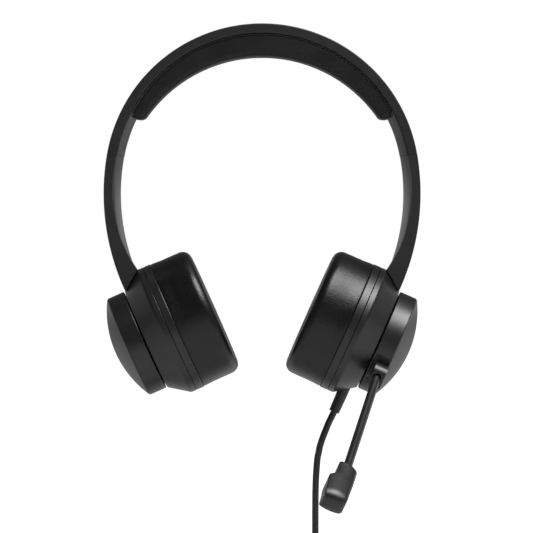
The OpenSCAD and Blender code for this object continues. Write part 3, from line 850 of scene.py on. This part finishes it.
def crease_at_seam(radius):
    """The angle on the crease's circle where it crosses the arm's top edge."""
    along = Vector((math.cos(SEAM), math.sin(SEAM)))
    down = Vector((along.y, -along.x))
    start = Vector((SEAM_X, SEAM_Z)) + down * SEAM_GAP - Vector(CREASE_C)
    b = start.dot(along)
    hit = start + along * (-b + math.sqrt(b * b - start.length_squared + radius ** 2))
    return math.atan2(hit.y, hit.x)


def arm_shells():
    """Each arm's outer shell: its outer arc runs down from the seam and the crease's arc back up."""
    low = -125.0
    outer_end, inner_end = (math.asin((low - c[1]) / r) for c, r in ((ARM_C, ARM_R), (CREASE_C, CREASE_R)))
    outline = arc_points(ARM_C, ARM_R, SEAM - SEAM_GAP / ARM_R, outer_end, 44)
    outline += arc_points(CREASE_C, CREASE_R, inner_end, crease_at_seam(CREASE_R), 40)
    count = len(outline)
    verts = [(x, -arm_half_width(x, z), z) for x, z in outline]
    verts += [(x, arm_half_width(x, z), z) for x, z in outline]
    faces = [tuple(range(count)), tuple(reversed(range(count, 2 * count)))]
    faces += [(k, (k + 1) % count, count + (k + 1) % count, count + k) for k in range(count)]
    for side, flip in SIDES.items():
        obj = build(f"{side}_arm_outer_shell", verts, faces, flip, material="shell_black",
                    body=f"{side}_arm", replaces=[f"{side}_arm_shell"])
        finish_solid(obj, [cup_cutter(flip), strip_cutter(flip), yoke_cutter(flip)], bevel=0.35)


def arm_cover():
    """The crowned strip on the right arm's inner side, which thins out towards the cup."""
    r = cap_radius(BAND_W / 2, CROWN_H)
    start = crease_at_seam(CREASE_R - SLIVER)
    end = math.asin((COVER_END_Z - CREASE_C[1]) / CREASE_R)
    sections = []
    steps, across = 34, 20
    for i in range(steps + 1):
        outer = Vector(on_circle(CREASE_C, CREASE_R - SLIVER, start + (end - start) * i / steps))
        spoke = outer - Vector(INNER_C)
        depth = max(spoke.length - INNER_R, 0.05)
        spoke.normalize()
        half = min(arm_half_width(outer.x, outer.y), math.sqrt(max(r * r - (r - depth) ** 2, 0.01)))
        row = []
        for k in range(across + 1):
            y = half * (2 * k / across - 1)
            rise = r - math.sqrt(r * r - y * y)
            p = Vector(INNER_C) + spoke * (INNER_R + min(rise, depth - SLIVER))
            row.append((p.x, y, p.y))
        for k in range(across, -1, -4):
            y = half * (2 * k / across - 1)
            row.append((outer.x, y, outer.y))
        sections.append(row)
    obj = loft("right_arm_crowned_cover", sections, material="crown_black", body="right_arm",
               replaces=["right_arm_cover"])
    finish_solid(obj, [strip_cutter(IDENTITY), screw_cutter()])
    return obj


def mirrored_cover(right):
    """The left arm's cover, a mirror image of the finished right one."""
    obj = link(right.copy())
    obj.data = right.data.copy()
    obj.name = obj.data.name = "left_arm_crowned_cover"
    obj.data.transform(MIRROR)
    obj.data.flip_normals()
    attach(obj, "left_arm")
    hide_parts("left_arm_cover")


# ---- Ear cups ----

def cup_pieces(side, flip):
    """The housing with its slot for the yoke, the ring that holds the cushion, and the cloth."""
    place = flip @ CUP
    body = f"{side}_cup"
    outline = [
        (0, CONE_U), (SMALL_R, CONE_U), (CUP_R, FLANGE_U), (CUP_R, RING_U), (CUP_R - WALL, RING_U),
        (CUP_R - WALL, FLANGE_U + 0.6), (SMALL_R - 1.4, CONE_U + WALL), (0, CONE_U + WALL),
    ]
    housing = lathe(f"{side}_cup_shell", fillet(outline, [0, 0.7, 2.2, 0.2, 0.1, 0.6, 0.6, 0], 6), place,
                    material="cup_black", body=body, replaces=[f"{side}_cup_housing"])
    finish_solid(housing, [prism("yoke_slot", rect(22, 7.15, 38, 14.75), -3.4, 3.4, place)])
    low, step, spigot = RING_U + 0.22, RING_U + 0.8, CUP_R - WALL - 0.3
    ring = [(0, step), (spigot, step), (spigot, low), (CUP_R, low), (CUP_R, CUSHION_U), (0, CUSHION_U)]
    lathe(f"{side}_cushion_mount_ring", fillet(ring, [0, 0.1, 0.1, 0.2, 0.5, 0], 5), place,
          material="cup_black", body=body, replaces=[f"{side}_cushion_ring"])
    edge = EAR_HOLE_R - 0.3
    cloth = [
        (0, CUSHION_U + 0.1), (edge, CUSHION_U + 0.1), (edge, CUSHION_U + 0.45),
        (EAR_HOLE_R - 3, CUSHION_U + 0.9), (EAR_HOLE_R - 8, CUSHION_U + 1.25), (0, CUSHION_U + 1.4),
    ]
    lathe(f"{side}_acoustic_cloth", fillet(cloth, [0, 0, 0.2, 1.5, 2.5, 0], 4), place, 96,
          material="acoustic_cloth", body=body, replaces=[f"{side}_ear_mesh"])


def disc_pieces(side, flip, body, rim_node, dome_node):
    """The outer disc, notched for the hood on the boom's side, and the domed cap pressed into it."""
    place = flip @ CUP
    lip = DISC_R - 1.8
    outline = [
        (0, DISC_U - WALL), (DISC_R - 5, DISC_U - WALL), (DISC_R - 5, CAP_U + 3.3), (lip, CAP_U + 3.3),
        (lip, CAP_U + 1.2), (DISC_R - 1, CAP_U + 0.12), (DISC_R, CAP_U + 0.12), (DISC_R, DISC_U), (0, DISC_U),
    ]
    rim = lathe(f"{side}_disc_rim", fillet(outline, [0, 0.3, 0.3, 0.1, 0.3, 0.1, 0.3, 0.5, 0], 5), place,
                material="disc_black", slot="cup_black", body=body, replaces=[rim_node])
    if body == "boom":
        finish_solid(rim, [hood_notch()])
    r = cap_radius(DISC_R, CAP_U - DOME_U)
    top = math.asin(DISC_R / r)
    steps, inside, centre = 26, r - WALL, DOME_U + r
    arc = [(r * math.sin(top * k / steps), centre - r * math.cos(top * k / steps)) for k in range(steps + 1)]
    inner = [
        (inside * math.sin(0.93 * top * k / 8), centre - inside * math.cos(0.93 * top * k / 8))
        for k in range(8, -1, -1)
    ]
    edge = [
        (DISC_R, CAP_U), (DISC_R - 1.9, CAP_U), (DISC_R - 1.9, CAP_U + 3), (DISC_R - 3.2, CAP_U + 3),
        (DISC_R - 3.2, CAP_U),
    ]
    radii = [0] * steps + [0.3, 0, 0.2, 0.2, 0] + [0] * len(inner)
    lathe(f"{side}_dome", fillet(arc[:-1] + edge + inner, radii, 4), place, material="dome_black",
          body=body, replaces=[dome_node])


def cushion_outline(swell=0.0):
    """The cushion's section: square where it meets its ring, soft at its face, smaller by swell."""
    low, top = CUSHION_U + 0.05 + swell * 0.2, CUSHION_U + CUSHION_T - swell
    inside, outside = EAR_HOLE_R + swell, CUP_R - 0.25 - swell
    return fillet(rect(inside, low, outside, top), [0.5, 0.5, 5.0, 4.5], 10)


def ear_cushion(side, flip):
    """A padded ring whose clean cover is slack where its simulated copy is."""
    cover = lathe(f"{side}_ear_cushion_cover", dense(cushion_outline(), 1.2), IDENTITY, 144,
                  material="leatherette", weighted=False, sharp=80)
    swollen = lathe("swollen", cushion_outline(0.7), IDENTITY, 96)
    puff(swollen, 2.0, 3.5, 1.6)
    follow(cover, swollen, 0.35, lambda co: np.clip((co[:, 2] - CUSHION_U - 1.5) / 4, 0, 1))
    scrap(swollen)
    gather(cover)
    # the simulation runs in the cup's own frame, and the finished cover is put in place
    cover.data.transform(Matrix.Scale(MM, 4) @ (flip @ CUP) @ Matrix.Scale(1 / MM, 4))
    if flip is MIRROR:
        cover.data.flip_normals()
    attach(cover, f"{side}_cup")
    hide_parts(f"{side}_ear_cushion")


def dense(outline, step):
    """The same closed outline with no gap between points longer than step."""
    out = []
    for i, p in enumerate(outline):
        q = outline[(i + 1) % len(outline)]
        parts = max(1, math.ceil(math.dist(p, q) / step))
        out += [tuple(a + (b - a) * k / parts for a, b in zip(p, q)) for k in range(parts)]
    return out


def puff(obj, voxel, pressure, cap):
    """Swells a closed skin with Cloth pressure, keeps every point within cap of its start, and applies it."""
    obj.modifiers.clear()
    remesh = obj.modifiers.new("remesh", "REMESH")
    remesh.mode = "VOXEL"
    remesh.voxel_size = voxel * MM
    apply_modifiers(obj)
    start = positions(obj)
    cloth = obj.modifiers.new("swell", "CLOTH")
    settings = cloth.settings
    settings.use_pressure = True
    settings.uniform_pressure_force = pressure
    settings.quality = 6
    settings.mass = 0.25
    settings.tension_stiffness = settings.compression_stiffness = 12
    settings.bending_stiffness = 0.6
    settings.effector_weights.gravity = 0
    scene = bpy.context.scene
    for number in range(1, 21):
        scene.frame_set(number)
    apply_modifiers(obj)
    scene.frame_set(1)
    moved = positions(obj) - start
    size = np.linalg.norm(moved, axis=1, keepdims=True)
    moved *= np.minimum(1.0, cap * MM / np.maximum(size, 1e-9))
    set_positions(obj, start + moved)


def follow(cover, swollen, share, weight):
    """Gives a clean cover a share of its simulated copy's slack, evened out over the cover's edges."""
    tree = BVHTree.FromPolygons(
        [v.co for v in swollen.data.vertices], [p.vertices for p in swollen.data.polygons]
    )
    co = positions(cover)
    normals = np.array([v.normal for v in cover.data.vertices])
    near = np.array([tree.find_nearest(v.co)[0] for v in cover.data.vertices])
    gap = ((near - co) * normals).sum(axis=1)
    gap = np.clip(gap - np.median(gap), -0.9 * MM, 0.9 * MM)
    ends = np.array([e.vertices for e in cover.data.edges])
    links = np.bincount(ends.ravel(), minlength=len(gap))
    for _ in range(12):
        total = np.bincount(ends[:, 0], gap[ends[:, 1]], len(gap))
        total += np.bincount(ends[:, 1], gap[ends[:, 0]], len(gap))
        gap = 0.4 * gap + 0.6 * total / links
    move = share * (gap - np.percentile(gap, 98)) * weight(co / MM)
    set_positions(cover, co + normals * np.minimum(move, 0)[:, None])


def positions(obj):
    co = np.empty(len(obj.data.vertices) * 3)
    obj.data.vertices.foreach_get("co", co)
    return co.reshape(-1, 3)


def set_positions(obj, co):
    obj.data.vertices.foreach_set("co", np.asarray(co, float).ravel())
    obj.data.update()


def bell(x, centre, width):
    return np.exp(-(((x - centre) / width) ** 2))


def gather(obj):
    """Slack in the cushion's cover: shallow waves that run from the inner edge over the face."""
    co = positions(obj) / MM
    top = CUSHION_U + CUSHION_T
    r = np.hypot(co[:, 0], co[:, 1])
    a = np.arctan2(co[:, 1], co[:, 0])
    u = co[:, 2]
    inner = r < (CUP_R + EAR_HOLE_R) / 2
    waves = np.sin(11 * a) * 0.5 + np.sin(17 * a + 1.3) * 0.3 + np.sin(29 * a + 0.4) * 0.2
    u = u - 0.10 * (waves + 1) * np.clip((u - top + 7) / 7, 0, 1) * inner
    # the sewn seam where the cover's side meets its face
    co[:, 2] = u - 0.15 * bell(u, top - 0.5, 0.35) * bell(r, CUP_R - 4.2, 0.5)
    set_positions(obj, co * MM)


# ---- Head pad ----

def pad_sections(swell=0.0):
    """The pad's sections: a crescent, thickest at the crown, with thumb-like ends, smaller by swell."""
    back = BAND_IN - 0.45
    reach = PAD_HALF + PAD_OVER
    tip = 3.4
    ends = [tip * (1 - math.cos(math.pi / 2 * k / 12)) / BAND_IN for k in range(12)]
    ends[0] = SLIVER / BAND_IN
    inner = reach - tip / BAND_IN
    angles = [-reach + e for e in ends] + [-inner + 2 * inner * k / 90 for k in range(91)]
    angles += [reach - e for e in reversed(ends)]
    off = BAND_C[1] - FACE_Z
    sections = []
    for a in angles:
        b = off * math.cos(a)
        face = -b + math.sqrt(b * b - off * off + FACE_R ** 2)
        full = math.sqrt(1 - (1 - min((reach - abs(a)) * BAND_IN / tip, 1.0)) ** 2)
        middle = face * 0.3 + back * 0.7
        top = max(middle + (back - middle) * full - swell, middle + 0.05)
        low = min(middle + (face - middle) * full + swell, middle - 0.05)
        half = BAND_W / 2 - 1.0 - 2.2 * (1 - full) - swell
        corner = min(3.0, (top - low) * 0.45)
        radii = [min(1.1, corner), min(1.1, corner), corner, corner]
        row = fillet([(top, -half), (top, half), (low, half), (low, -half)], radii, 7)
        turn = math.pi / 2 + a
        sections.append([
            (r * math.cos(turn), y, BAND_C[1] + r * math.sin(turn)) for r, y in spread(row)
        ])
    return sections


def spread(row):
    """Adds points along a rounded rectangle's four straight sides, the same number whatever its size."""
    quarter = len(row) // 4
    out = []
    for k, p in enumerate(row):
        out.append(p)
        if k % quarter == quarter - 1:
            q = row[(k + 1) % len(row)]
            parts = 14 if (k // quarter) % 2 == 0 else 5
            out += [tuple(a + (b - a) * i / parts for a, b in zip(p, q)) for i in range(1, parts)]
    return out


def head_pad():
    """A soft padded strip under the crown, slack where its simulated copy is, sewn along both sides."""
    cover = loft("head_pad_cover", pad_sections(), material="pad_cover", slot="leatherette", weighted=False,
                 sharp=80)
    swollen = loft("swollen", pad_sections(0.6))
    puff(swollen, 2.0, 3.0, 1.2)
    follow(cover, swollen, 0.3, lambda co: np.ones(len(co)))
    scrap(swollen)
    press_pad_seams(cover)
    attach(cover, "headband")
    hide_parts("head_pad")


def press_pad_seams(obj):
    """Presses a sewn line into the pad's face near each side."""
    co = positions(obj) / MM
    spoke = co - np.array([0, 0, BAND_C[1]])
    r = np.hypot(spoke[:, 0], spoke[:, 2])
    face = r < BAND_IN - PLATE_T - 3
    press = 0.25 * bell(np.abs(co[:, 1]), BAND_W / 2 - 3.7, 0.45) * face
    for axis in (0, 2):
        co[:, axis] += spoke[:, axis] / r * press
    set_positions(obj, co * MM)


# ---- Boom and microphone ----

def boom_hood():
    """The hood on the disc's rim that carries the boom: a rounded block with an arched mouth."""
    near, far, half = DISC_R - 4.2, BOOM_START, 5.2
    plan = fillet(rect(near, -half, far, half), [0, 1.2, 4.8, 0], 12)
    obj = prism("boom_hood", plan, BOOM_U - 3.5, BOOM_U + 3.0, HOOD, across="z", material="disc_black",
                slot="cup_black", body="boom")
    mouth = [(-8.0, BOOM_U - 2.75), (-8.0, BOOM_U + 2.75)]
    mouth += arc_points((0.4, BOOM_U), 2.75, math.pi / 2, -math.pi / 2, 14)
    finish_solid(obj, [prism("mouth", mouth, far - 3.2, far + 1, HOOD, across="x")], bevel=0.3, limit=50)


def hood_notch():
    """A cutter for the notch in the disc's rim that the hood sits in."""
    return prism("notch", rect(24.5, CAP_U - 1, 29, BOOM_U + 4.8), -7.2, 9.6, HOOD)


def boom_tube():
    """A slim straight tube, let into the hood."""
    r = BOOM_D / 2
    lathe("boom_tube_skin", [(0, -7), (r, -7), (r, BOOM_LEN), (0, BOOM_LEN)], BOOM, 48,
          material="boom_black", slot="shell_black", body="boom", replaces=["boom_tube"])


def mic_section(y, x_out, x_in, half=MIC_H / 2, corner=MIC_CORNER, slant=0.0):
    """A section across the boom at length y: square on the mouth's side and rounder outside."""
    pts = fillet(rect(-x_out, -half, x_in, half), [corner, corner * 0.3, corner * 0.3, corner], 6)
    middle, wide = (x_in - x_out) / 2, (x_in + x_out) / 2
    return [
        (x, w * (1 - 0.16 * ((x - middle) / wide) ** 2), y + slant * max(0.0, x - 3.6))
        for x, w in spread(pts)
    ]


def microphone():
    """The capsule: a neck, a slanting step on the mouth's side, and a domed end."""
    half, corner = MIC_H / 2, MIC_CORNER
    neck, out, step = MIC_IN - 2.3, MIC_OUT + 0.3, MIC_STEP
    rows = [
        (-1.3, 1.9, neck - 0.3, half - 0.3, 1.2),
        (-1.15, 2.3, neck - 0.1, half - 0.08, 1.4),
        (-0.8, 2.7, neck), (0.0, 3.7, neck), (0.7, 4.6, neck), (1.2, out - 0.1, neck), (1.8, out, neck),
        (step - 0.25, out, neck), (step - 0.04, out, neck + 0.12),
        (step, out, neck + 0.4, half, corner, 0.69), (step, out, MIC_IN + 0.1, half, corner, 0.69),
        (step + 0.1, out, MIC_IN + 0.35, half, corner, 0.69),
        (step + 0.4, out, MIC_IN + 0.45, half, corner, 0.69),
        (step + 4, out, MIC_IN + 0.45, half, corner, 0.4), (step + 8, out - 0.15, MIC_IN + 0.15),
    ]
    base, depth, steps = MIC_LEN - 4.0, 6.8, 32
    for k in range(steps + 1):
        end = math.sin(math.pi / 2 * k / steps)
        h = max(half * (1 - end ** 2.4) ** (1 / 2.4), 0.1)
        wide = (1 - 0.96 * end ** 5) ** 0.5
        rows.append((base + depth * end, 0.3 + (MIC_OUT - 0.3) * wide, 0.8 + (MIC_IN - 0.8) * wide, h,
                     min(corner, h * 0.9)))
    sections = [mic_section(*row) for row in rows]
    return loft("microphone_capsule", sections, MIC, material="boom_black", slot="cup_black", body="boom",
                replaces=["mic_shell", "mic_cover"], sharp=50)


# ---- Strain relief, coil tie and plug ----

def strain_relief():
    """A plain tapered boot, cut off square where the cable leaves it."""
    outline = fillet(
        [(0, 23.2), (3.4, 23.2), (3.4, 24.4), (2.75, 24.4), (2.8, 33), (2.6, BOOT_END), (0, BOOT_END)],
        [0, 0.1, 0.3, 0.1, 4.0, 0.3, 0], 5
    )
    place = CUP @ Matrix.Translation((0, 0, EXIT_U)) @ Matrix.Rotation(-math.pi / 2, 4, "Y")
    lathe("cable_strain_relief", outline, place, 64, material="boot_black", slot="cable_black",
          body="right_cup", replaces=["strain_relief"])


def coil_tie():
    """A woven strap round the coil's section."""
    lo, hi = lowest("coil_tie"), highest("coil_tie")
    cx, cz = (lo.x + hi.x) / 2, (lo.z + hi.z) / 2
    hw, hh, t = (hi.x - lo.x) / 2 - 0.05, (hi.z - lo.z) / 2 - 0.05, 0.55
    outer = fillet(rect(-hw, -hh, hw, hh), 1.8, 8)
    inner = fillet(rect(-hw + t, -hh + t, hw - t, hh - t), 1.3, 8)
    y0, y1 = lo.y + 0.05, hi.y - 0.05
    soft = 0.15
    sections = []
    for o, i in zip(outer, inner):
        o, i = Vector(o), Vector(i)
        d = (i - o).normalized()
        pts = [(o + d * soft, y0), (o, y0 + soft), (o, y1 - soft), (o + d * soft, y1),
               (i - d * soft, y1), (i, y1 - soft), (i, y0 + soft), (i - d * soft, y0)]
        sections.append([(cx + p.x, y, cz + p.y) for p, y in pts])
    return loft("coil_strap", sections, loop=True, material="strap", slot="acoustic_cloth", body="right_cup",
                replaces=["coil_tie"])


def plug_overmould():
    """The plug's soft grip, from the cable's neck to the metal shell, with five ribs."""
    # each row: length, half width, lowest, highest
    rows = [
        (0, 2.9, -3.6, 1.9), (0.4, 3.2, -4.05, 2.25), (4, 3.2, -4.05, 2.25), (7, 3.3, -4.05, 2.3),
        (8.6, 4.2, -4.05, 2.7), (9.4, 6.4, -4.05, 3.5), (10.2, 7.6, -4.08, 4.0), (12, 7.95, -4.1, 4.08),
    ]
    for k in range(5):
        at = 13.0 + 2.2 * k
        rows += [(at, 7.95, -4.1, 4.08), (at + 0.3, 7.55, -4.1, 3.75), (at + 0.9, 7.55, -4.1, 3.75),
                 (at + 1.2, 7.95, -4.1, 4.08)]
    rows += [(26, 7.95, -4.1, 4.08), (30.2, 7.9, -4.1, 4.05), (30.8, 7.5, -3.9, 3.7), (31, 6.9, -3.5, 3.3)]
    sections = [
        [(x, y, z) for y, z in fillet(rect(-w, low, w, high), min(w, (high - low) / 2) * 0.55, 5)]
        for x, w, low, high in rows
    ]
    return loft("plug_overmould", sections, PLUG, material="plug_black", body="right_cup",
                replaces=["usb_plug_body"])


def plug_shell():
    """The plug's thin metal shell, with its two pairs of windows."""
    w, h, t = 6.0, 2.25, 0.3
    near, far = 27.1, 49.5
    outer = fillet(rect(-w, -h, w, h), 0.45, 5)
    inner = fillet(rect(-w + t, -h + t, w - t, h - t), 0.2, 5)
    rows = [(near, outer, 1, 1), (far - 0.15, outer, 1, 1), (far, outer, 0.99, 0.97), (far, inner, 1, 1),
            (near, inner, 1, 1)]
    ring = [[(x, y * wide, z * high) for y, z in outline] for x, outline, wide, high in rows]
    shell = loft("plug_metal_shell", ring, PLUG, loop=True, material="plug_steel", body="right_cup",
                 replaces=["usb_plug_shell"])
    windows = [rect(40, y - 1.2, 42.2, y + 1.2) for y in (-2.5, 2.5)]
    finish_solid(shell, [prism("window", window, -4.5, 4.5, PLUG, across="z") for window in windows])
    return shell


def plug_inside():
    """The white insert, and the four gold contacts under it."""
    bar = fillet(rect(-5.45, -0.05, 5.45, 1.85), 0.15, 3)
    sections = [[(x, y, z) for y, z in bar] for x in (27.6, 47.6)]
    sections.append([(48.1, y * 0.97, 0.9 + (z - 0.9) * 0.85) for y, z in bar])
    pieces = [loft("plug_white_insert", sections, PLUG, material="plug_insert", body="right_cup",
                   replaces=["usb_plug_tongue"])]
    for k, y in enumerate((-3.5, -1, 1, 3.5), 1):
        strip = fillet(rect(y - 0.5, -0.32, y + 0.5, -0.04), 0.08, 2)
        pieces.append(prism(f"plug_contact_{k}", strip, 38, 46.5, PLUG, across="x", material="gold",
                            slot="plug_steel", body="right_cup"))
    return pieces


# ---- CAD nodes that stay ----

def both(*names):
    return [f"{side}_{name}" for side in SIDES for name in names]


KEPT = {
    "steel": ["spring_screws", "liner_screws", "guide_screws", "mic_element"]
    + both("arm_screws", "cup_screws", "pivot_pin"),
    "spring_steel": ["spring_band", "detent_springs", "left_hub_clip", "boom_clip"],
    "slider_nylon": both("slider_strip", "yoke"),
    "cup_black": both("speaker_frame"),
    "magnet": both("speaker_magnet"),
    "film": both("speaker_diaphragm"),
    "foam": ["mic_foam"],
    "board_green": ["circuit_board"],
}


def kept_nodes():
    for material, names in KEPT.items():
        for name in names:
            obj = bpy.data.objects[name]
            for part in [obj, *obj.children]:
                if part.type == "MESH":
                    part.data.materials.clear()
                    part.data.materials.append(FINISHES[material])


# ---- The whole object ----

bpy.context.scene.view_settings.view_transform = "Standard"
camera()
cord, cord_exit = cable()
studio()
floor()
with_cable = [coil_tie(), plug_overmould(), plug_shell(), *plug_inside()]
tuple(cord_exit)
band_shell()
band_covers()
pad_plate()
head_pad()
arm_shells()
mirrored_cover(arm_cover())
for side, flip in SIDES.items():
    cup_pieces(side, flip)
    ear_cushion(side, flip)
disc_pieces("right", IDENTITY, "boom", "boom_disc", "boom_dome_cap")
disc_pieces("left", MIRROR, "left_cup", "left_outer_disc", "left_dome_cap")
boom_hood()
boom_tube()
microphone()
strain_relief()
kept_nodes()
